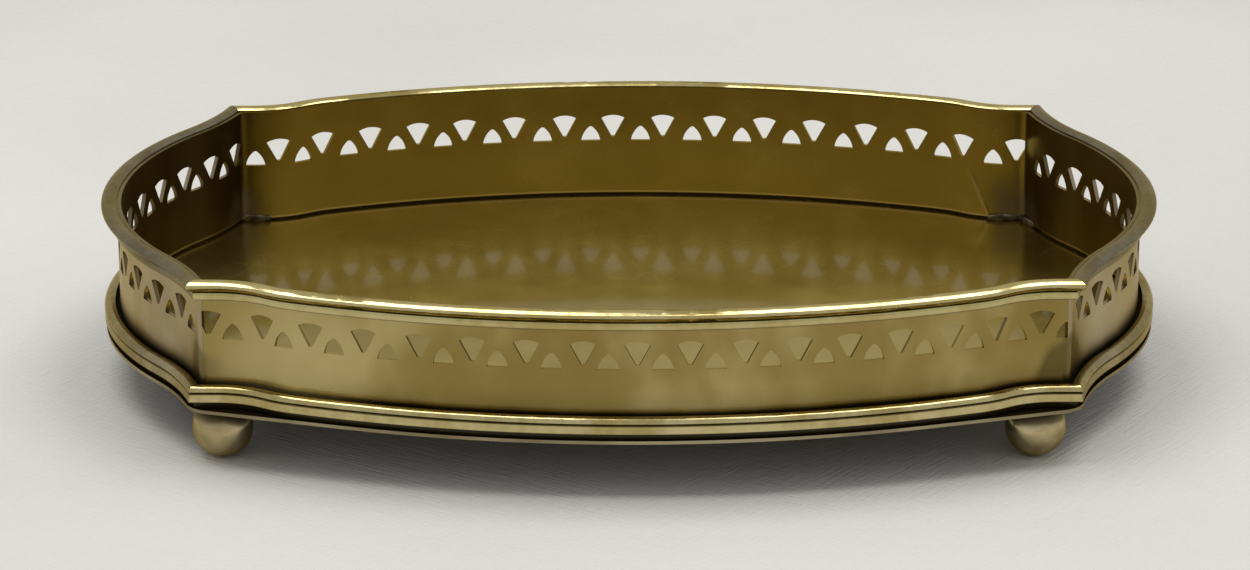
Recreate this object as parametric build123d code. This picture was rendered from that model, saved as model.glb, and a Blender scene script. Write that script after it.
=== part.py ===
from build123d import *
from build123d.topology import SkipClean
import math
import os

# Oval brass vanity tray: a pierced gallery between two mouldings, on a double bottom with four ball feet.
# Millimetres. X runs along the tray, Y from its front to its back, and Z up from the surface it stands on.

# Driving dimensions of the plan, taken at the gallery's outer face
overall_length = 254.0
overall_width = 177.5
moulding_projection = 3.8
long_radius = 228.0
shoulder_radius = 23.0
land_length = 3.5
corner_x = 100.2
corner_y = 64.2
side_shift = 1.4
end_radius = 78.5
ogee_radius = 63.0
bend_radius = 3.0

# Heights above the table, and sheet thicknesses
foot_diameter = 14.3
foot_seat_height = 13.45
base_plate_thickness = 0.8
floor_plate_thickness = 1.2
sheet_thickness = 1.0
gallery_floor_gap = 0.7
gallery_top = 44.25

# Rim moulding: a broad bead over a narrower band. Points of its section, outwards from the gallery and up
# from the foot of the band.
rim_bottom = 40.25
band_foot = (1.5, 0)
band_swell = (1.75, 0.85)
band_head = (1.6, 1.7)
rim_crease = (1.0, 2.2)
bead_underside = (2.75, 2.6)
bead_nose = (moulding_projection, 3.6)
bead_front = (3.7, 4.0)
bead_brow = (3.3, 4.4)
bead_crest = (1.7, 4.95)
bead_back = (0, 4.3)

# Base moulding: a channel beside the gallery, a rounded ridge, a groove, and an upright band whose foot hangs
# clear of the floor plate. Points of its section, outwards from the gallery and up from the floor plate.
seat_edge = (2.3, 0)
base_band_heel = (2.3, 0.4)
base_band_toe = (3.75, 0.4)
base_band_head = (3.6, 2.4)
base_groove = (3.25, 2.65)
ridge_nose = (moulding_projection, 3.0)
ridge_brow = (3.4, 3.8)
ridge_crest = (2.2, 4.35)
channel_lip = (1.2, 4.05)
channel_side = (0.8, 3.0)
channel_floor = (0, 2.2)

# Bottom plates, measured outwards from the gallery's outer face. The floor's top face is parted just inside
# the gallery, where what stands in the tray has its own flat face.
base_plate_margin = 3.5
base_plate_corner_radius = 7.0
floor_plate_margin = 2.3
floor_face_margin = -1.8

# One stroke of the punch cuts a fan and, to its right, a lower dome
fan_width = 6.1
fan_height = 5.8
fan_rise = 0.8
fan_tip_width = 0.8
fan_tip_height = 31.25
dome_width = 4.9
dome_height = 3.9
dome_shoulder_width = 3.75
dome_crown_width = 1.2
dome_crown_rise = 0.3
dome_base_height = 30.15
pair_spacing = 5.75
hand_wobble = 0.25
hand_wobble_rate = 1.9

# Ball feet and the screws that hold them
foot_x = 94.5
foot_y = 60.0
screw_diameter = 2.7
screw_clearance = 0.1
screw_head_diameter = 4.7
screw_reach = 6.5
screw_slot_width = 0.6
screw_slot_depth = 0.4
tapped_depth = 8.0

# Each strip is drawn this far past its corners before it is mitred
mitre_overrun = 9.0

half_length = overall_length / 2 - moulding_projection
half_width = overall_width / 2 - moulding_projection
base_plate_top = foot_seat_height + base_plate_thickness
floor_top = base_plate_top + floor_plate_thickness
up = Vector(0, 0, 1)


def unit(vector):
    return vector / vector.length


def circles_meet(centre_a, radius_a, centre_b, radius_b):
    """The two points where circles in plan cross, the one further along +X first."""
    gap = centre_b - centre_a
    along = (radius_a**2 - radius_b**2 + gap.length**2) / (2 * gap.length)
    aside = math.sqrt(radius_a**2 - along**2)
    foot = centre_a + unit(gap) * along
    sideways = up.cross(unit(gap)) * aside
    return sorted([foot + sideways, foot - sideways], key=lambda point: -point.X)


def arc_about(centre, start, end):
    """The shorter arc about centre from start to end."""
    radius = (start - centre).length
    middle = centre + unit(start + end - centre * 2) * radius
    return ThreePointArc(start, middle, end)


class Quarter:
    """A quarter of the plan in +X +Y, offset outwards from the gallery's outer face.

    From the middle of the long side it runs: long arc, convex shoulder, concave shoulder,
    straight land, sharp corner, concave ogee, and convex end arc.
    """

    def __init__(self, shift, offset=0.0):
        long_centre = Vector(shift, half_width - long_radius)
        concave_centre = Vector(corner_x + shift - land_length, corner_y + shoulder_radius)
        convex_reach = long_radius - shoulder_radius
        convex_centre = circles_meet(long_centre, convex_reach, concave_centre, 2 * shoulder_radius)[1]
        end_centre = Vector(half_length - end_radius, 0)
        wall_corner = Vector(corner_x + shift, corner_y)
        ogee_centre = circles_meet(end_centre, end_radius + ogee_radius, wall_corner, ogee_radius)[0]
        corner_arm = ogee_radius - offset
        corner_drop = ogee_centre.Y - corner_y - offset
        corner_run = math.sqrt(corner_arm**2 - corner_drop**2)

        self.wall_corner = wall_corner
        self.mitre = unit(Vector(0, 1) + unit(ogee_centre - wall_corner))
        self.corner = Vector(ogee_centre.X - corner_run, corner_y + offset)
        self.long_centre = long_centre
        self.long_reach = long_radius + offset
        self.ogee_centre = ogee_centre
        self.end_centre = end_centre

        self.middle = Vector(shift, half_width + offset)
        long_end = long_centre + unit(convex_centre - long_centre) * self.long_reach
        turn = convex_centre + unit(concave_centre - convex_centre) * (shoulder_radius + offset)
        self.land_start = Vector(concave_centre.X, corner_y + offset)
        self.ogee_end = end_centre + unit(ogee_centre - end_centre) * (end_radius + offset)
        self.end = Vector(half_length + offset, 0)
        self.shoulder_edges = [
            arc_about(long_centre, self.middle, long_end),
            arc_about(convex_centre, long_end, turn),
            arc_about(concave_centre, turn, self.land_start),
        ]

    def side_edges(self, overrun=0.0):
        """The long side from its middle to the corner, and past it by overrun."""
        last = self.corner + Vector(overrun, 0)
        return self.shoulder_edges + [Line(self.land_start, last)]

    def plain_side_edges(self):
        """The long side with no shoulders: the long arc runs straight on to the corner."""
        arm = self.corner - self.long_centre
        turn = math.degrees(math.acos(self.long_reach / arm.length))
        arc_end = self.long_centre + unit(arm).rotate(Axis.Z, turn) * self.long_reach
        return [arc_about(self.long_centre, self.middle, arc_end), Line(arc_end, self.corner)]

    def end_edges(self, overrun=0.0):
        """The end from the corner, or overrun before it, to the middle of the end."""
        arm = self.corner - self.ogee_centre
        first = self.ogee_centre + arm.rotate(Axis.Z, -math.degrees(overrun / arm.length))
        return [
            arc_about(self.ogee_centre, first, self.ogee_end),
            arc_about(self.end_centre, self.ogee_end, self.end),
        ]


def mirrored(shapes, plane):
    return [shape.mirror(plane) for shape in shapes]


def plan_face(offset, shoulders=True):
    """The whole plan as a face, its edge offset outwards from the gallery's outer face."""
    edges = []
    for shift in (side_shift, -side_shift):
        quarter = Quarter(shift, offset)
        side = quarter.side_edges() if shoulders else quarter.plain_side_edges()
        back = side + quarter.end_edges()
        half = back + mirrored(back, Plane.XZ)
        edges += half if shift > 0 else mirrored(half, Plane.YZ)
    return Face(Wire(edges))


# The strips follow the gallery's outer face, and the two ends of the tray are a little unlike
right_quarter = Quarter(side_shift)
left_quarter = Quarter(-side_shift)


def long_path():
    right = right_quarter.side_edges(mitre_overrun)
    left = left_quarter.side_edges(mitre_overrun)
    return Wire(right + mirrored(left, Plane.YZ))


def end_path(quarter):
    edges = quarter.end_edges(mitre_overrun)
    return Wire(edges + mirrored(edges, Plane.XZ))


def outward_at(path, distance):
    """A point of the path, and the direction that faces away from the tray there."""
    point = path.position_at(distance, position_mode=PositionMode.LENGTH)
    outward = path.tangent_at(distance, position_mode=PositionMode.LENGTH).cross(up)
    return point, outward if outward.dot(point) > 0 else outward * -1


def swept(path, profile):
    """Sweep a profile, drawn outwards and upwards, along the path."""
    point, outward = outward_at(path, 0)
    plane = Plane(origin=point, x_dir=outward, z_dir=outward.cross(up))
    return sweep(plane * profile, path=path)


def mitred(strip, quarter, mirror_x, mirror_y, is_end):
    """Cut one end of a strip on the upright plane that halves its corner."""
    across = quarter.mitre
    corner = Vector(quarter.wall_corner.X * mirror_x, quarter.wall_corner.Y * mirror_y)
    along = Vector(-across.Y * mirror_x, across.X * mirror_y)
    kept_side = along * -1 if is_end else along
    cut = Plane(origin=corner, z_dir=kept_side)
    return split(strip, bisect_by=cut, keep=Keep.TOP)


def long_strip(profile):
    """A strip along the back of the tray."""
    strip = swept(long_path(), profile)
    strip = mitred(strip, right_quarter, 1, 1, False)
    return mitred(strip, left_quarter, -1, 1, False)


def end_strip(profile, quarter):
    """A strip round the right-hand end of the tray."""
    strip = swept(end_path(quarter), profile)
    strip = mitred(strip, quarter, 1, 1, True)
    return mitred(strip, quarter, 1, -1, True)


def four_strips(profile):
    """The same section round all four sides."""
    back = long_strip(profile)
    return {
        "front": back.mirror(Plane.XZ),
        "back": back,
        "left": end_strip(profile, left_quarter).mirror(Plane.YZ),
        "right": end_strip(profile, right_quarter),
    }


def sheet(face, bottom, thickness):
    return Pos(0, 0, bottom) * extrude(face, amount=thickness, dir=(0, 0, 1))


def eased(plate, offset, radius):
    """Round the four upright corners of a plate whose edge is offset from the gallery's outer face."""
    corners = []
    for shift, mirror_x in ((side_shift, 1), (-side_shift, -1)):
        corner = Quarter(shift, offset).corner
        corners += [(corner.X * mirror_x, corner.Y), (corner.X * mirror_x, -corner.Y)]
    upright = plate.edges().filter_by(Axis.Z)
    return fillet([upright.sort_by_distance((x, y, 0))[0] for x, y in corners], radius)


def gallery_strips():
    """Four strips of sheet that meet in the middle of each rounded corner."""
    bottom = floor_top + gallery_floor_gap
    height = gallery_top - bottom
    outer = eased(sheet(plan_face(0), bottom, height), 0, bend_radius)
    inner = sheet(plan_face(-sheet_thickness), bottom, height)
    inner = eased(inner, -sheet_thickness, bend_radius - sheet_thickness)
    ring = outer - inner
    back = mitred(mitred(ring, right_quarter, 1, 1, False), left_quarter, -1, 1, False)
    return {
        "front": back.mirror(Plane.XZ),
        "back": back,
        "left": mitred(mitred(ring, left_quarter, -1, 1, True), left_quarter, -1, -1, True),
        "right": mitred(mitred(ring, right_quarter, 1, 1, True), right_quarter, 1, -1, True),
    }


def rim_profile():
    """Band below, then a crease, then the broad bead that tops the gallery."""
    edges = [
        Line((0, 0), band_foot),
        ThreePointArc(band_foot, band_swell, band_head),
        Line(band_head, rim_crease),
        ThreePointArc(rim_crease, bead_underside, bead_nose),
        ThreePointArc(bead_nose, bead_front, bead_brow),
        ThreePointArc(bead_brow, bead_crest, bead_back),
        Line(bead_back, (0, 0)),
    ]
    return Pos(0, rim_bottom) * make_face(edges)


def base_profile():
    """Upright band below, a rounded ridge above it, and a channel against the gallery."""
    edges = [
        Line((0, 0), seat_edge),
        Line(seat_edge, base_band_heel),
        Line(base_band_heel, base_band_toe),
        Line(base_band_toe, base_band_head),
        Line(base_band_head, base_groove),
        Line(base_groove, ridge_nose),
        ThreePointArc(ridge_nose, ridge_brow, ridge_crest),
        Line(ridge_crest, channel_lip),
        ThreePointArc(channel_lip, channel_side, channel_floor),
        Line(channel_floor, (0, 0)),
    ]
    return Pos(0, floor_top) * make_face(edges)


def fan():
    """Sector with its point down, an arched top and a blunt tip."""
    half_top = fan_width / 2
    half_tip = fan_tip_width / 2
    spring = fan_height - fan_rise
    edges = [
        Line((-half_tip, 0), (half_tip, 0)),
        Line((half_tip, 0), (half_top, spring)),
        ThreePointArc((half_top, spring), (0, fan_height), (-half_top, spring)),
        Line((-half_top, spring), (-half_tip, 0)),
    ]
    return Pos(0, fan_tip_height) * make_face(edges)


def dome():
    """Bell with a flat base and a narrow crown."""
    half_base = dome_width / 2
    half_shoulder = dome_shoulder_width / 2
    half_crown = dome_crown_width / 2
    crown_spring = dome_height - dome_crown_rise
    edges = [
        Line((-half_base, 0), (half_base, 0)),
        ThreePointArc((half_base, 0), (half_shoulder, dome_height / 2), (half_crown, crown_spring)),
        ThreePointArc((half_crown, crown_spring), (0, dome_height), (-half_crown, crown_spring)),
        ThreePointArc((-half_crown, crown_spring), (-half_shoulder, dome_height / 2), (-half_base, 0)),
    ]
    return Pos(0, dome_base_height) * make_face(edges)


# How each side was fed under the punch, left to right as seen from outside: the number of strokes, the place
# of the middle fan, the mean spacing, and the drift of that spacing.
punching = {
    "front": (17, 0.4, 12.40, 0.042),
    "back": (16, -1.1, 12.92, 0.039),
    "left": (12, -4.2, 11.10, 0.000),
    "right": (11, -2.6, 11.30, 0.000),
}

# The front and left strips are the back and right ones mirrored, and each path runs one way round the tray:
# (path direction, mirror in X, mirror in Y)
laid_out = {
    "front": (1, 1, -1),
    "back": (-1, 1, 1),
    "left": (1, -1, 1),
    "right": (-1, 1, 1),
}


def stroke_places(count, middle, spacing, drift):
    """Where the fan of each stroke falls, measured along the strip from its middle."""
    for number in range(count):
        step = number - (count - 1) / 2
        wobble = hand_wobble * math.sin(hand_wobble_rate * number)
        yield middle + spacing * step - drift * step**2 + wobble


def punch_plane(path, place, side):
    """An upright plane in the middle of the sheet, facing outwards, at a place along the side."""
    direction, mirror_x, mirror_y = laid_out[side]
    point, outward = outward_at(path, path.length / 2 + direction * place)
    point = Vector(point.X * mirror_x, point.Y * mirror_y)
    outward = Vector(outward.X * mirror_x, outward.Y * mirror_y)
    return Plane(origin=point - outward * sheet_thickness / 2, x_dir=up.cross(outward), z_dir=outward)


def punched(strip, path, side):
    """Cut the side's row of fans and domes through its strip."""
    holes = []
    for place in stroke_places(*punching[side]):
        for shape, along in ((fan(), 0), (dome(), pair_spacing)):
            hole = punch_plane(path, place + along, side) * shape
            holes.append(extrude(hole, amount=sheet_thickness, both=True))
    return strip - holes


def foot_places():
    return {
        "front_left": (-foot_x, -foot_y),
        "front_right": (foot_x, -foot_y),
        "back_left": (-foot_x, foot_y),
        "back_right": (foot_x, foot_y),
    }


def screw(clearance=0.0):
    """A countersunk screw pointing down, its head flush with the top of the base plate."""
    shank_radius = screw_diameter / 2 + clearance
    head_radius = screw_head_diameter / 2 + clearance
    head_alignment = (Align.CENTER, Align.CENTER, Align.MIN)
    head = Cone(shank_radius, head_radius, base_plate_thickness, align=head_alignment)
    shank = Cylinder(shank_radius, screw_reach, align=(Align.CENTER, Align.CENTER, Align.MAX))
    return Pos(0, 0, foot_seat_height) * (head + shank)


def slotted_screw():
    slot = Box(screw_head_diameter * 2, screw_slot_width, screw_slot_depth * 2)
    return screw() - Pos(0, 0, base_plate_top) * slot


def foot():
    """A ball with a flat ground on top, tapped for its screw."""
    radius = foot_diameter / 2
    ball = Pos(0, 0, radius) * Sphere(radius)
    ball = split(ball, bisect_by=Plane.XY.offset(foot_seat_height), keep=Keep.BOTTOM)
    tapping = Cylinder(
        screw_diameter / 2 + screw_clearance, tapped_depth, align=(Align.CENTER, Align.CENTER, Align.MAX)
    )
    return ball - Pos(0, 0, foot_seat_height) * tapping


def base_plate():
    """Cut with plain sides that pass outside the shoulders, and with its corners eased."""
    plate = sheet(plan_face(base_plate_margin, shoulders=False), foot_seat_height, base_plate_thickness)
    plate = eased(plate, base_plate_margin, base_plate_corner_radius)
    return plate - [Pos(x, y, 0) * screw(screw_clearance) for x, y in foot_places().values()]


def floor_plate():
    """One plate, left with a line in its faces where the inside of the gallery comes."""
    plate = sheet(plan_face(floor_plate_margin), base_plate_top, floor_plate_thickness)
    inside = sheet(plan_face(floor_face_margin), base_plate_top, floor_plate_thickness)
    with SkipClean():
        return (plate - inside) + inside


nodes = {
    "floor_plate": floor_plate(),
    "base_plate": base_plate(),
    "foot_screws": Compound([Pos(x, y, 0) * slotted_screw() for x, y in foot_places().values()]),
}
for place, (x, y) in foot_places().items():
    nodes[f"foot_{place}"] = Pos(x, y, 0) * foot()
for side, strip in four_strips(rim_profile()).items():
    nodes[f"rim_{side}"] = strip
for side, strip in four_strips(base_profile()).items():
    nodes[f"base_moulding_{side}"] = strip
for side, strip in gallery_strips().items():
    end_quarter = left_quarter if side == "left" else right_quarter
    path = end_path(end_quarter) if side in ("left", "right") else long_path()
    nodes[f"gallery_{side}"] = punched(strip, path, side)

os.makedirs("parts", exist_ok=True)
for name, solid in nodes.items():
    export_step(solid, f"parts/{name}.step")
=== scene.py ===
import math
import bmesh
import bpy
from mathutils import Matrix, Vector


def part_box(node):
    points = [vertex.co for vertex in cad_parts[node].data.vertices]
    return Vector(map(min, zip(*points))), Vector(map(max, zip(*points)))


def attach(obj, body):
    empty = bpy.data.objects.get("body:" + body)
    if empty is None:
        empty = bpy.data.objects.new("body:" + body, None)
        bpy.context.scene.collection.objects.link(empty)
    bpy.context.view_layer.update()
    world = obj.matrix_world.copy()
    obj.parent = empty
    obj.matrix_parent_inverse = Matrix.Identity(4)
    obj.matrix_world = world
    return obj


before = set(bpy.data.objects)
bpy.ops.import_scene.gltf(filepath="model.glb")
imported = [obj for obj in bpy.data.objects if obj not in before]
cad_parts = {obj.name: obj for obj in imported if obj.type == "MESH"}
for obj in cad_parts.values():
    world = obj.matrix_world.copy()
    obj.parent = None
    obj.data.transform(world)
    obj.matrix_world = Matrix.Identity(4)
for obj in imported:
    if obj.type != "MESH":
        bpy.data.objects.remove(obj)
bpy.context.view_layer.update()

# Floor plate. One plate of rolled brass sheet, soft-soldered under the mouldings. It was polished and
# lacquered once and has dulled unevenly: bottles have left fine scratches. Its hidden edge is painted
# nearly black, as dirt and painted shade in the recess under the mouldings.
floor_gold = (0.48, 0.375, 0.125, 1)
floor_brown = (0.35, 0.26, 0.068, 1)
floor_edge_shade_black = (0.035, 0.026, 0.008, 1)
floor_roughness = 0.25
floor_cloud_dulling = 0.06
floor_mottle_dulling = 0.05
floor_edge_dulling = 0.4
scratch_dulling = 0.025
scratch_depth = -0.004
floor_relief = 0.0006
floor_cloud_size = 0.05
floor_mottle_size = 0.009
floor_cloud_share = 0.75
floor_tone_limits = (0.35, 0.65)
floor_edge_shade_limits = (0.8, 0.3)
lacquer_weight = 0.35
lacquer_roughness = 0.075
scratch_spacing = 0.0011
scratch_stretch = (1, 34, 1)
scratch_turns = (0.5, 1.9, 2.7)
scratch_limits = (0.66, 0.74)
noise_middle = 0.5


class Socket:
    """A node's output. Arithmetic on it adds Math nodes."""

    def __init__(self, finish, output):
        self.finish = finish
        self.output = output

    def math(self, operation, first, second):
        return self.finish.node("Math", {"operation": operation}, {0: first, 1: second})

    def __add__(self, other):
        return self.math("ADD", self, other)

    def __sub__(self, other):
        return self.math("SUBTRACT", self, other)

    def __rsub__(self, other):
        return self.math("SUBTRACT", other, self)

    def __mul__(self, other):
        return self.math("MULTIPLY", self, other)

    __radd__ = __add__
    __rmul__ = __mul__


class Finish:
    """A material on the Principled shader, its patterns laid on the piece's own coordinates in metres."""

    grazing_tint = (0.84, 0.72, 0.46, 1)
    facing_reach = 0.055

    def __init__(self, name, metallic=1.0):
        self.material = bpy.data.materials.new(name)
        self.material.use_nodes = True
        self.shader = self.material.node_tree.nodes["Principled BSDF"]
        self.shader.inputs["Metallic"].default_value = metallic
        if metallic > 0:
            self.shader.inputs["Specular Tint"].default_value = self.grazing_tint
        self.place = self.node("TexCoord", {}, {}, "Object")
        self.normal = self.node("TexCoord", {}, {}, "Normal")
        self.along = self.node("SeparateXYZ", {}, {0: self.place}, "X")
        self.back = self.node("SeparateXYZ", {}, {0: self.place}, "Y")
        self.height = self.node("SeparateXYZ", {}, {0: self.place}, "Z")
        self.upward = self.node("SeparateXYZ", {}, {0: self.normal}, "Z")

    def node(self, kind, settings, inputs, output=0):
        """Add a node: its settings first, then the values or links of its sockets."""
        made = self.material.node_tree.nodes.new("ShaderNode" + kind)
        for name, value in settings.items():
            setattr(made, name, value)
        for name, value in inputs.items():
            self.feed(made.inputs[name], value)
        return Socket(self, made.outputs[output])

    def feed(self, target, value):
        if isinstance(value, Socket):
            self.material.node_tree.links.new(value.output, target)
        else:
            target.default_value = value

    def clouds(self, size, detail=2.0, stretch=(1, 1, 1), turn=0.0):
        """Soft noise whose patches are about size across, stretched after it is turned about Z."""
        scale = [1 / (size * length) for length in stretch]
        spun = self.node("Mapping", {}, {"Vector": self.place, "Rotation": (0, 0, turn)})
        laid = self.node("Mapping", {}, {"Vector": spun, "Scale": scale})
        return self.node("TexNoise", {}, {"Vector": laid, "Scale": 1.0, "Detail": detail})

    def step(self, value, low, high):
        """0 at low, 1 at high, and smooth between."""
        limits = {"Value": value, "From Min": low, "From Max": high}
        return self.node("MapRange", {"interpolation_type": "SMOOTHSTEP"}, limits)

    def band(self, value, middle, reach, softness):
        """1 within reach of the middle, falling to 0 over softness on each side."""
        rise = self.step(value, middle - reach - softness, middle - reach)
        return rise * self.step(value, middle + reach + softness, middle + reach)

    def capped(self, mask):
        """Keep a sum of masks between 0 and 1."""
        return self.step(mask, 0.0, 1.0)

    def distance(self, place, point):
        return self.node("VectorMath", {"operation": "DISTANCE"}, {0: place, 1: point}, "Value")

    def outward(self):
        """1 on faces that look away from the tray's middle, 0 on those that face it, half on cut edges."""
        pair = {0: self.place, 1: self.normal}
        facing = self.node("VectorMath", {"operation": "DOT_PRODUCT"}, pair, "Value")
        return self.step(facing, -self.facing_reach, self.facing_reach)

    def blend(self, amount, first, second):
        """Mix two colours. The Mix node has its colours on inputs 6 and 7, and on output 2."""
        return self.node("Mix", {"data_type": "RGBA"}, {0: amount, 6: first, 7: second}, 2)

    def surface(self, colour, roughness, relief, depth):
        bump = self.node("Bump", {}, {"Height": relief, "Strength": 1.0, "Distance": depth})
        self.feed(self.shader.inputs["Base Color"], colour)
        self.feed(self.shader.inputs["Roughness"], roughness)
        self.feed(self.shader.inputs["Normal"], bump)

    def dress(self, *names):
        for name in names:
            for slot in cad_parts[name].material_slots:
                slot.material = self.material


floor_finish = Finish("worn_floor_brass")
floor_cloud = floor_finish.clouds(floor_cloud_size, 3.0)
floor_mottle = floor_finish.clouds(floor_mottle_size, 3.0)
scratches = 0.0
for turn in scratch_turns:
    line = floor_finish.clouds(scratch_spacing, 1.0, scratch_stretch, turn)
    scratches = floor_finish.step(line, *scratch_limits) + scratches
floor_pattern = floor_cloud * floor_cloud_share + floor_mottle * (1 - floor_cloud_share)
floor_tone = floor_finish.step(floor_pattern, *floor_tone_limits)
floor_colour = floor_finish.blend(floor_tone, floor_brown, floor_gold)
# Painted shade: faces that don't look up, the plate's edge in the recess, are painted nearly black.
floor_edge_shade = floor_finish.step(floor_finish.upward, *floor_edge_shade_limits)
floor_colour = floor_finish.blend(floor_edge_shade, floor_colour, floor_edge_shade_black)
floor_dulling = floor_cloud * floor_cloud_dulling + floor_mottle * floor_mottle_dulling
floor_dulling = floor_dulling - (floor_cloud_dulling + floor_mottle_dulling) * noise_middle
floor_dulling = floor_dulling + scratches * scratch_dulling + floor_edge_shade * floor_edge_dulling
floor_waves = floor_cloud + scratches * scratch_depth
floor_finish.surface(floor_colour, floor_dulling + floor_roughness, floor_waves, floor_relief)
floor_finish.shader.inputs["Coat Weight"].default_value = lacquer_weight
floor_finish.shader.inputs["Coat Roughness"].default_value = lacquer_roughness
floor_finish.dress("floor_plate")

# Base plate. A thinner sheet under the floor plate, cut a little larger with plain sides, and never
# polished: its edge has rubbed bright. The ledge between it and the mouldings is painted black, as dirt
# and painted shade, and its underside is painted brown as painted shade.
base_grey = (0.38, 0.325, 0.20, 1)
base_dark = (0.20, 0.16, 0.085, 1)
underside_shade_brown = (0.11, 0.085, 0.04, 1)
ledge_shade_black = (0.030, 0.023, 0.008, 1)
base_roughness = 0.27
base_cloud_dulling = 0.15
ledge_dulling = 0.25
base_relief = 0.00004
base_cloud_size = 0.03
base_drag_size = 0.0008
base_drag_stretch = (40, 1, 1)
base_tone_limits = (0.35, 0.65)
ledge_shade_limits = (0.5, 0.9)
underside_shade_limits = (-0.5, -0.9)
underside_shading = 0.8
base_finish = Finish("dull_base_brass")
base_cloud = base_finish.clouds(base_cloud_size, 4.0)
base_drag = base_finish.clouds(base_drag_size, 2.0, base_drag_stretch)
base_colour = base_finish.blend(base_finish.step(base_cloud, *base_tone_limits), base_dark, base_grey)
# Painted shade: the plate's top, the ledge under the mouldings, is painted black, and its underside brown.
ledge_shade = base_finish.step(base_finish.upward, *ledge_shade_limits)
underside = base_finish.step(base_finish.upward, *underside_shade_limits)
base_colour = base_finish.blend(underside * underside_shading, base_colour, underside_shade_brown)
base_colour = base_finish.blend(ledge_shade, base_colour, ledge_shade_black)
base_dulling = base_cloud * base_cloud_dulling + ledge_shade * ledge_dulling
base_finish.surface(base_colour, base_dulling + base_roughness, base_drag, base_relief)
base_finish.dress("base_plate")

# Ball feet. Turned solid brass balls with a flat ground on top, each held up against the base plate by
# one screw. They are smooth and brighter where hands and cloths reach. A band round the seat under the
# base plate is painted dark as painted shade.
foot_pale = (0.54, 0.45, 0.26, 1)
foot_brown = (0.38, 0.30, 0.15, 1)
seat_shade_brown = (0.10, 0.078, 0.038, 1)
foot_roughness = 0.13
foot_cloud_dulling = 0.12
seat_dulling = 0.3
foot_relief = 0.00002
foot_cloud_size = 0.006
foot_turning_size = 0.0004
foot_turning_stretch = (30, 30, 1)
foot_tone_limits = (0.35, 0.7)
foot_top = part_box("foot_front_left")[1][2]
seat_shade_limits = (foot_top - 0.0030, foot_top - 0.0012)
seat_raggedness = 0.003
seat_shading = 0.85
foot_finish = Finish("turned_foot_brass")
foot_cloud = foot_finish.clouds(foot_cloud_size, 3.0)
foot_turning = foot_finish.clouds(foot_turning_size, 2.0, foot_turning_stretch)
foot_colour = foot_finish.blend(foot_finish.step(foot_cloud, *foot_tone_limits), foot_brown, foot_pale)
# Painted shade: the top of the ball, round its seat against the base plate, is painted dark.
foot_seat_shade = foot_finish.step(foot_finish.height + foot_cloud * seat_raggedness, *seat_shade_limits)
foot_colour = foot_finish.blend(foot_seat_shade * seat_shading, foot_colour, seat_shade_brown)
foot_dulling = foot_cloud * foot_cloud_dulling + foot_seat_shade * seat_dulling
foot_finish.surface(foot_colour, foot_dulling + foot_roughness, foot_turning, foot_relief)
foot_finish.dress("foot_front_left", "foot_front_right", "foot_back_left", "foot_back_right")

# Screws. Slotted countersunk brass screws through the base plate into the feet, covered by the floor
# plate. They keep the fine rings that the lathe left on them.
screw_yellow = (0.52, 0.41, 0.19, 1)
screw_brown = (0.33, 0.25, 0.11, 1)
screw_roughness = 0.28
screw_ring_dulling = 0.1
screw_relief = 0.00003
screw_ring_size = 0.0003
screw_ring_stretch = (20, 20, 1)
screw_tone_limits = (0.3, 0.7)
screw_finish = Finish("turned_screw_brass")
screw_rings = screw_finish.clouds(screw_ring_size, 2.0, screw_ring_stretch)
screw_tone = screw_finish.step(screw_rings, *screw_tone_limits)
screw_colour = screw_finish.blend(screw_tone, screw_brown, screw_yellow)
screw_dulling = screw_rings * screw_ring_dulling
screw_finish.surface(screw_colour, screw_dulling + screw_roughness, screw_rings, screw_relief)
screw_finish.dress("foot_screws")

# Base mouldings. Four drawn brass strips, mitred and soldered round the foot of the gallery: an upright
# band, a groove, and a rounded ridge that polishing has kept bright. The ends have been polished less.
# The groove, the band's toe and the channel beside the gallery are painted black as dirt and painted shade.
moulding_gold = (0.56, 0.475, 0.24, 1)
moulding_brown = (0.40, 0.315, 0.125, 1)
end_moulding_grey = (0.37, 0.315, 0.19, 1)
end_moulding_brown = (0.25, 0.205, 0.115, 1)
crevice_shade_black = (0.040, 0.030, 0.008, 1)
moulding_roughness = 0.17
end_moulding_roughness = 0.26
moulding_crevice_shading = 0.95
end_moulding_crevice_shading = 0.7
moulding_cloud_dulling = 0.10
moulding_fleck_dulling = 0.07
crevice_dulling = 0.3
moulding_fleck_depth = 0.03
moulding_relief = 0.0005
moulding_cloud_size = 0.016
moulding_fleck_size = 0.0022
moulding_cloud_share = 0.7
moulding_tone_limits = (0.36, 0.62)
base_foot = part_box("base_moulding_front")[0][2]
groove_height = base_foot + 0.00262
groove_weight = 0.68
toe_limits = (base_foot + 0.0007, base_foot + 0.0004)
channel_limits = (base_foot + 0.0040, base_foot + 0.0034)
crevice_reach = 0.00016
crevice_softness = 0.0003
crevice_raggedness = 0.0002


def moulding_finish(name, light, dark, roughness, crevices, crevice_shading):
    """Drawn brass with a cloudy, flecked tone, painted black as dirt and painted shade where crevices says.
    """
    finish = Finish(name)
    cloud = finish.clouds(moulding_cloud_size, 3.0)
    fleck = finish.clouds(moulding_fleck_size, 3.0)
    pattern = cloud * moulding_cloud_share + fleck * (1 - moulding_cloud_share)
    tone = finish.step(pattern, *moulding_tone_limits)
    # Painted shade: the crevice mask darkens the colour towards black and dulls the polish.
    crevice_dirt_and_shade = crevices(finish, fleck) * crevice_shading
    colour = finish.blend(crevice_dirt_and_shade, finish.blend(tone, dark, light), crevice_shade_black)
    dulling = cloud * moulding_cloud_dulling + fleck * moulding_fleck_dulling + crevice_dirt_and_shade * crevice_dulling
    dulling = dulling - (moulding_cloud_dulling + moulding_fleck_dulling) * noise_middle
    waves = cloud + fleck * moulding_fleck_depth
    finish.surface(colour, dulling + roughness, waves, moulding_relief)
    return finish


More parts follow.
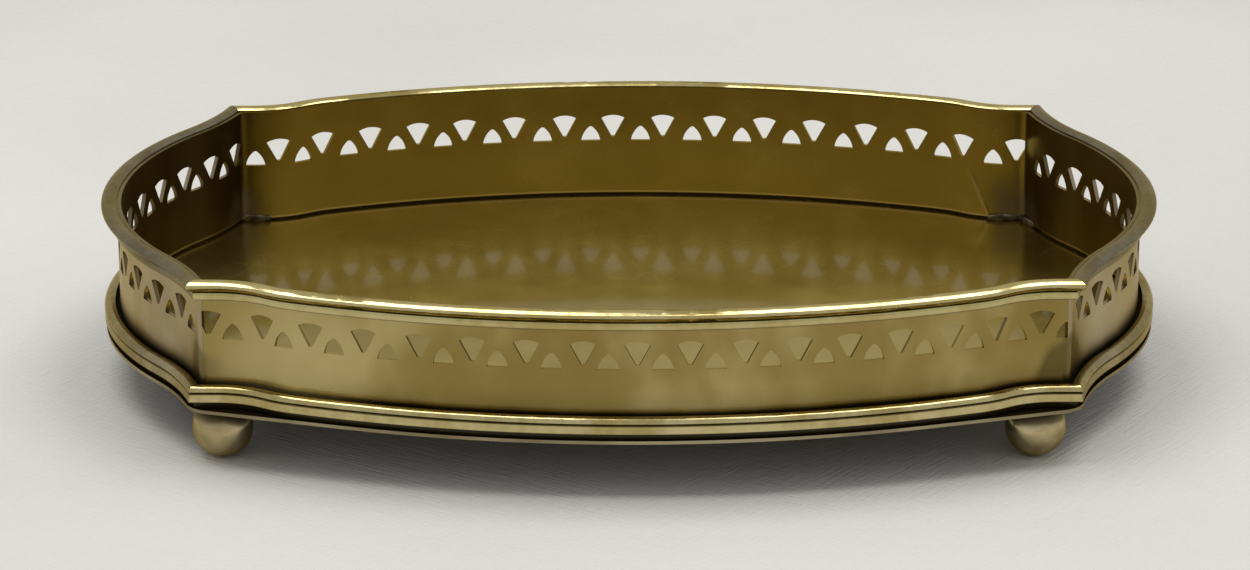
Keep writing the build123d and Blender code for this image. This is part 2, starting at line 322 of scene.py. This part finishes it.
def base_crevices(finish, fleck):
    """The groove, the underside of the band's toe, and the channel beside the gallery."""
    ragged = finish.height + fleck * crevice_raggedness
    groove = finish.band(ragged, groove_height, crevice_reach, crevice_softness)
    under = finish.step(finish.height, *toe_limits)
    channel = (1 - finish.outward()) * finish.step(finish.height, *channel_limits)
    return finish.capped(groove * groove_weight + under + channel)


long_base = moulding_finish(
    "polished_base_moulding", moulding_gold, moulding_brown,
    moulding_roughness, base_crevices, moulding_crevice_shading,
)
long_base.dress("base_moulding_front", "base_moulding_back")
end_base = moulding_finish(
    "dulled_base_moulding", end_moulding_grey, end_moulding_brown,
    end_moulding_roughness, base_crevices, end_moulding_crevice_shading,
)
end_base.dress("base_moulding_left", "base_moulding_right")

# Gallery. Four strips of 1 mm brass sheet, punched with a fan and a dome at each stroke, bent at the
# corners and soldered there. The sheet is satin, slightly wavy and cloudy with handling, and grey with
# solder in the inner corners. It is painted black just above the channel and under the rim, and brown in
# the inner and outer corners, as painted shade.
sheet_olive = (0.35, 0.258, 0.088, 1)
sheet_brown = (0.275, 0.196, 0.056, 1)
sheet_inside = (0.355, 0.272, 0.065, 1)
sheet_pale = (0.56, 0.45, 0.21, 1)
end_sheet_olive = (0.40, 0.33, 0.225, 1)
end_sheet_brown = (0.33, 0.265, 0.165, 1)
end_sheet_pale = (0.50, 0.43, 0.31, 1)
end_inside_shade_brown = (0.12, 0.09, 0.027, 1)
left_end_shade_dark = (0.038, 0.027, 0.008, 1)
wall_shade_black = (0.035, 0.027, 0.006, 1)
cut_edge_shade_brown = (0.17, 0.13, 0.06, 1)
lip_highlight_pale = (0.62, 0.50, 0.26, 1)
corner_shade_brown = (0.060, 0.043, 0.014, 1)
solder_grey = (0.27, 0.235, 0.205, 1)
sheet_roughness = 0.25
end_sheet_roughness = 0.30
sheet_cloud_dulling = 0.08
sheet_smear_dulling = 0.12
sheet_fleck_dulling = 0.05
sheet_dulling_middle = 0.12
solder_mark_dulling = 0.12
seam_dulling = 0.25
cut_edge_dulling = 0.2
sheet_smear_depth = 0.22
sheet_rub_depth = 0.004
sheet_fleck_depth = 0.006
dent_depth = 0.12
sheet_relief = 0.0016
sheet_cloud_size = 0.045
sheet_smear_size = 0.014
sheet_smear_stretch = (1, 1, 1.6)
sheet_fleck_size = 0.0016
sheet_rub_size = 0.0006
sheet_rub_stretch = (1, 1, 30)
sheet_cloud_share = 0.55
sheet_smear_share = 0.35
sheet_fleck_share = 0.10
worn_smear_share = 0.5
sheet_tone_limits = (0.36, 0.64)
worn_limits = (0.46, 0.70)
worn_strength = 0.6
inside_tone_strength = 0.85
left_end_shade_limits = (-0.085, -0.105)
cut_edge_middle = 0.5
cut_edge_reach = 0.2
cut_edge_softness = 0.25
cut_edge_shade_strength = 0.85
gallery_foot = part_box("gallery_front")[0][2]
gallery_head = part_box("gallery_front")[1][2]
band_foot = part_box("rim_front")[0][2]
lip_highlight_limits = (gallery_foot + 0.0007, gallery_foot + 0.0002)
lip_highlight_strength = 0.8
seam_shade_limits = (gallery_foot + 0.0051, gallery_foot + 0.0034)
seam_raggedness = 0.0012
shade_limits = (gallery_foot + 0.011, gallery_foot + 0.003)
shade_strength = 0.35
under_rim_limits = (band_foot - 0.0009, band_foot + 0.0001)
under_rim_raggedness = 0.0004
under_rim_strength = 0.55
corner_inset = 0.0012
corner_rise = 0.0003
inner_corner_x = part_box("gallery_back")[1][0] - corner_inset
inner_corner_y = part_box("gallery_back")[0][1] + corner_rise
inner_corner = (inner_corner_x, inner_corner_y, gallery_foot + 0.002)
outer_corner = (inner_corner_x + 0.001, 0.001 - inner_corner_y, gallery_foot + 0.006)
corner_shade_reach = 0.018
end_corner_shade_reach = 0.060
corner_shade_core = 0.008
corner_shade_raggedness = 0.012
inner_corner_shade_strength = 0.8
outer_corner_shade_limits = (0.0205, 0.0165)
outer_corner_shade_raggedness = 0.026
outer_corner_shade_strength = 0.65
solder_limits = (0.0245, 0.0155)
solder_raggedness = 0.022
solder_graininess = 0.005
solder_strength = 0.35
rubbed_place = (-0.080, -0.074, 0.025)
rubbed_limits = (0.034, 0.014)
rubbed_raggedness = 0.016
rubbed_strength = 0.6
dent_slope = 0.44
dent_place = 0.0989
dent_reach = 0.0001
dent_softness = 0.0008
dent_top_limits = (0.0300, 0.0225)
dent_back_limits = (0.0, 0.01)
dent_highlight_strength = 0.6


def gallery_finish(name, olive, brown, pale, inside, roughness, shade_reach):
    """Satin sheet brass, worn outside and darker inside, with solder and painted shade at its seams and
    corners.
    """
    finish = Finish(name)
    outside = finish.outward()
    within = 1 - outside
    cloud = finish.clouds(sheet_cloud_size, 2.0)
    smear = finish.clouds(sheet_smear_size, 2.0, sheet_smear_stretch)
    fleck = finish.clouds(sheet_fleck_size, 3.0)
    rub = finish.clouds(sheet_rub_size, 2.0, sheet_rub_stretch)

    # Tone: cloudy and worn pale outside; inside, an even colour (on the end strips a painted shade), darker
    # towards the left end as painted shade; cut edges painted brown as painted shade; a painted highlight
    # on the lower lip.
    pattern = cloud * sheet_cloud_share + smear * sheet_smear_share + fleck * sheet_fleck_share
    tone = finish.step(pattern, *sheet_tone_limits)
    worn = finish.step(smear * worn_smear_share + cloud * (1 - worn_smear_share), *worn_limits)
    colour = finish.blend(worn * worn_strength, finish.blend(tone, brown, olive), pale)
    # Painted shade: the end strips' inside colour is a dark brown, and the inside is painted darker still
    # towards the left end.
    inside_tone_and_shade = finish.blend(finish.step(finish.along, *left_end_shade_limits), inside, left_end_shade_dark)
    colour = finish.blend(within * inside_tone_strength, colour, inside_tone_and_shade)
    # Painted shade: the cut edges of the holes are painted brown.
    edge = finish.band(outside, cut_edge_middle, cut_edge_reach, cut_edge_softness)
    colour = finish.blend(edge * cut_edge_shade_strength, colour, cut_edge_shade_brown)
    # Painted highlight: a pale line along the foot of the inside wall.
    lip_highlight = finish.step(finish.height, *lip_highlight_limits) * within
    colour = finish.blend(lip_highlight * lip_highlight_strength, colour, lip_highlight_pale)

    # Painted shade outside: darker down the lower wall, and black in the seam above the channel and under
    # the rim.
    ragged = finish.height + smear * seam_raggedness
    seam_shade = finish.step(ragged, *seam_shade_limits) * outside
    under_rim_shade = finish.step(finish.height + fleck * under_rim_raggedness, *under_rim_limits) * outside
    shade = finish.step(ragged, *shade_limits) * outside
    colour = finish.blend(shade * shade_strength, colour, wall_shade_black)
    colour = finish.blend(finish.capped(seam_shade + under_rim_shade * under_rim_strength), colour, wall_shade_black)

    # Painted shade and solder in the corners: one half is worked out and mirrored to the other.
    mirrored = finish.node("Math", {"operation": "ABSOLUTE"}, {0: finish.along})
    folded = finish.node("CombineXYZ", {}, {0: mirrored, 1: finish.back, 2: finish.height})
    from_inner = finish.distance(folded, inner_corner)
    # Painted shade: the inner corners are painted dark brown, far up the end strips.
    inner_corner_shade = finish.step(from_inner + smear * corner_shade_raggedness, shade_reach, corner_shade_core) * within
    colour = finish.blend(inner_corner_shade * inner_corner_shade_strength, colour, corner_shade_brown)
    from_outer = finish.distance(folded, outer_corner)
    # Painted shadow: the outer corners are painted dark brown near the foot.
    outer_corner_shade = finish.step(from_outer + smear * outer_corner_shade_raggedness, *outer_corner_shade_limits) * outside
    colour = finish.blend(outer_corner_shade * outer_corner_shade_strength, colour, corner_shade_brown)
    from_solder = from_inner + smear * solder_raggedness + fleck * solder_graininess
    soldered = finish.step(from_solder, *solder_limits) * within
    colour = finish.blend(soldered * solder_strength, colour, solder_grey)

    # Knocks: a patch rubbed bright on the front near its left end, and a slanting dent inside the back, its
    # line also painted pale as a painted highlight.
    from_rubbed = finish.distance(finish.place, rubbed_place)
    rubbed = finish.step(from_rubbed + smear * rubbed_raggedness, *rubbed_limits) * outside
    colour = finish.blend(rubbed * rubbed_strength, colour, pale)
    slant = finish.along + finish.height * dent_slope
    dent = finish.band(slant, dent_place, dent_reach, dent_softness)
    dent = dent * finish.step(finish.height, *dent_top_limits)
    dent = dent * finish.step(finish.back, *dent_back_limits) * within
    # Painted highlight: the dent's line is painted pale.
    colour = finish.blend(dent * dent_highlight_strength, colour, pale)

    # Polish and waviness.
    dulling = cloud * sheet_cloud_dulling + smear * sheet_smear_dulling + fleck * sheet_fleck_dulling
    dulling = dulling - sheet_dulling_middle + seam_shade * seam_dulling
    dulling = dulling + soldered * solder_mark_dulling + edge * cut_edge_dulling
    waves = cloud + smear * sheet_smear_depth + rub * sheet_rub_depth
    waves = waves + fleck * sheet_fleck_depth + dent * dent_depth
    finish.surface(colour, dulling + roughness, waves, sheet_relief)
    return finish


long_gallery = gallery_finish(
    "satin_gallery_brass", sheet_olive, sheet_brown, sheet_pale, sheet_inside, sheet_roughness, corner_shade_reach
)
long_gallery.dress("gallery_front", "gallery_back")
end_gallery = gallery_finish(
    "dulled_gallery_brass", end_sheet_olive, end_sheet_brown, end_sheet_pale, end_inside_shade_brown,
    end_sheet_roughness, end_corner_shade_reach,
)
end_gallery.dress("gallery_left", "gallery_right")

# Rim mouldings. Four drawn brass strips mitred and soldered round the top of the gallery, a broad bead
# over a band. Handling keeps the bead bright along the sides; the ends are flatter, and painted greyer and
# darker as painted shade. The crease under the bead is painted dark as dirt and painted shade.
rim_gold = (0.56, 0.47, 0.225, 1)
rim_brown = (0.45, 0.355, 0.13, 1)
# Painted shade: the end rims' colours are painted greyer and darker than the sides'.
end_rim_shade_grey = (0.215, 0.195, 0.145, 1)
end_rim_shade_brown = (0.155, 0.135, 0.09, 1)
rim_roughness = 0.185
end_rim_roughness = 0.27
rim_crevice_shading = 0.9
end_rim_crevice_shading = 0.7
crease_height = band_foot + 0.0024
crease_weight = 0.65
rim_under_limits = (band_foot + 0.0003, band_foot)
rim_under_weight = 0.8
rim_behind_limits = (gallery_head + 0.0004, gallery_head)
rim_behind_weight = 0.5


def rim_crevices(finish, fleck):
    """The crease under the bead, the band's lower edge, and the joint behind the rim."""
    ragged = finish.height + fleck * crevice_raggedness
    crease = finish.band(ragged, crease_height, crevice_reach, crevice_softness)
    under = finish.step(finish.height, *rim_under_limits)
    behind = (1 - finish.outward()) * finish.step(finish.height, *rim_behind_limits)
    # Painted shade: these places are painted dark in moulding_finish, with dirt.
    return finish.capped(crease * crease_weight + under * rim_under_weight + behind * rim_behind_weight)


long_rim = moulding_finish("polished_rim", rim_gold, rim_brown, rim_roughness, rim_crevices, rim_crevice_shading)
long_rim.dress("rim_front", "rim_back")
end_rim = moulding_finish(
    "dulled_shaded_rim", end_rim_shade_grey, end_rim_shade_brown, end_rim_roughness, rim_crevices, end_rim_crevice_shading
)
end_rim.dress("rim_left", "rim_right")

# Solder. Soft solder run into the four lower inner corners, where the gallery's strips meet each other
# and the floor, and left as low grey lumps that were never filed.
solder_dark = (0.045, 0.034, 0.018, 1)
solder_light = (0.13, 0.105, 0.065, 1)
solder_roughness = 0.42
solder_cloud_dulling = 0.2
solder_pit_depth = 0.2
solder_relief = 0.0003
solder_cloud_size = 0.0025
solder_pit_size = 0.0005
solder_tone_limits = (0.35, 0.65)
lump_reach = 0.0042
lump_rise = 0.0009
lump_thickness = 0.0005
lump_crown = 0.15
lump_lift = 0.0006
lump_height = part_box("floor_plate")[1][2] + lump_lift
wall_lump_x = inner_corner_x - 0.0046
wall_lump_y = inner_corner_y + 0.0001
end_lump_x = inner_corner_x + corner_inset
end_lump_y = inner_corner_y - 0.0030
end_lump_turn = math.radians(62)
solder_finish = Finish("grey_solder")
solder_cloud = solder_finish.clouds(solder_cloud_size, 3.0)
solder_pits = solder_finish.clouds(solder_pit_size, 2.0)
solder_tone = solder_finish.step(solder_cloud, *solder_tone_limits)
solder_colour = solder_finish.blend(solder_tone, solder_dark, solder_light)
solder_dulling = solder_cloud * solder_cloud_dulling
solder_waves = solder_cloud + solder_pits * solder_pit_depth
solder_finish.surface(solder_colour, solder_dulling + solder_roughness, solder_waves, solder_relief)


def solder_lump(name, reach, rise, thickness, places):
    """Low rounded lumps, each pulled out along the wall it lies on: (x, y, z, turn about Z)."""
    lumps = bmesh.new()
    for x, y, z, turn in places:
        lump = bmesh.ops.create_icosphere(lumps, subdivisions=3, radius=1.0)["verts"]
        place = Matrix.Translation((x, y, z)) @ Matrix.Rotation(turn, 4, "Z")
        size = Matrix.Diagonal((reach, thickness, rise, 1))
        bmesh.ops.transform(lumps, matrix=place @ size, verts=lump)
        above = [vert for vert in lump if vert.co.z > z]
        bmesh.ops.translate(lumps, vec=(0, 0, rise * lump_crown), verts=above)
        bmesh.ops.smooth_vert(
            lumps, verts=lump, factor=0.5, use_axis_x=True, use_axis_y=True, use_axis_z=True
        )
    for face in lumps.faces:
        face.smooth = True
    mesh = bpy.data.meshes.new(name)
    lumps.to_mesh(mesh)
    lumps.free()
    mesh.materials.append(solder_finish.material)
    piece = bpy.data.objects.new(name, mesh)
    bpy.context.scene.collection.objects.link(piece)
    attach(piece, "root")


for side_name, side in (("left", -1), ("right", 1)):
    for row_name, row in (("front", -1), ("back", 1)):
        along_wall = (side * wall_lump_x, row * wall_lump_y, lump_height, 0.0)
        along_end = (side * end_lump_x, row * end_lump_y, lump_height, -side * row * end_lump_turn)
        solder_lump(
            f"solder_{row_name}_{side_name}", lump_reach, lump_rise, lump_thickness, (along_wall, along_end)
        )

# Table. A plain pale cloth laid flat under the tray. Its fine weave of two crossing threads and its soft
# undulations are in the material.
cloth_size = 3.2
cloth_pale = (0.60, 0.585, 0.542, 1)
cloth_shade = (0.545, 0.53, 0.488, 1)
cloth_roughness = 0.85
cloth_cloud_dulling = 0.05
cloth_cloud_depth = 4.0
thread_depth = 0.3
cloth_relief = 0.001
cloth_cloud_size = 0.25
cloth_tone_limits = (0.3, 0.7)
thread_size = 0.0009
thread_stretch = (12, 1, 1)
thread_turns = (0.6, 2.2)
cloth_mesh = bpy.data.meshes.new("table_cloth")
cloth_grid = bmesh.new()
bmesh.ops.create_grid(cloth_grid, x_segments=1, y_segments=1, size=cloth_size / 2)
cloth_grid.to_mesh(cloth_mesh)
cloth_grid.free()
table_cloth = bpy.data.objects.new("table_cloth", cloth_mesh)
bpy.context.scene.collection.objects.link(table_cloth)
cloth_finish = Finish("pale_cloth", 0.0)
cloth_cloud = cloth_finish.clouds(cloth_cloud_size, 2.0)
warp, weft = [cloth_finish.clouds(thread_size, 2.0, thread_stretch, turn) for turn in thread_turns]
cloth_tone = cloth_finish.step(cloth_cloud, *cloth_tone_limits)
cloth_colour = cloth_finish.blend(cloth_tone, cloth_shade, cloth_pale)
cloth_dulling = cloth_cloud * cloth_cloud_dulling
cloth_waves = cloth_cloud * cloth_cloud_depth + (warp + weft) * thread_depth
cloth_finish.surface(cloth_colour, cloth_dulling + cloth_roughness, cloth_waves, cloth_relief)
cloth_mesh.materials.append(cloth_finish.material)

# Lights. Two soft boxes high above the tray, left and right of its middle, in a pale room. The gap
# between them leaves the middle of the rim a little duller than its ends.
room_white = (0.80, 0.81, 0.82, 1)
room_strength = 0.78
box_height = 1.05
# Each box: x, y, width and depth in metres, then watts.
soft_boxes = {
    "soft_box_left": (-0.355, -0.02, 0.60, 0.62, 5.4),
    "soft_box_right": (0.355, 0.02, 0.54, 0.62, 4.6),
}
for name, (x, y, width, depth, watts) in soft_boxes.items():
    box_light = bpy.data.lights.new(name, "AREA")
    box_light.shape = "RECTANGLE"
    box_light.size = width
    box_light.size_y = depth
    box_light.energy = watts
    soft_box = bpy.data.objects.new(name, box_light)
    soft_box.location = (x, y, box_height)
    bpy.context.scene.collection.objects.link(soft_box)
room = bpy.data.worlds.new("room")
room.use_nodes = True
room.node_tree.nodes["Background"].inputs["Color"].default_value = room_white
room.node_tree.nodes["Background"].inputs["Strength"].default_value = room_strength
bpy.context.scene.world = room
bpy.context.scene.view_settings.view_transform = "Standard"

# Camera. A long lens about 1.2 m from the tray, straight in front of it and looking down over its front
# wall, level but for a very slight roll.
sensor_width = 36.0
focal_length = 146.56
camera_place = (-0.00055, -1.1642, 0.4350)
camera_dip = math.radians(19.6)
camera_roll = 0.00097
camera_lens = bpy.data.cameras.new("camera")
camera_lens.sensor_width = sensor_width
camera_lens.lens = focal_length
camera = bpy.data.objects.new("camera", camera_lens)
camera.location = camera_place
camera.rotation_euler = (math.pi / 2 - camera_dip, camera_roll, 0)
bpy.context.scene.collection.objects.link(camera)
bpy.context.scene.camera = camera
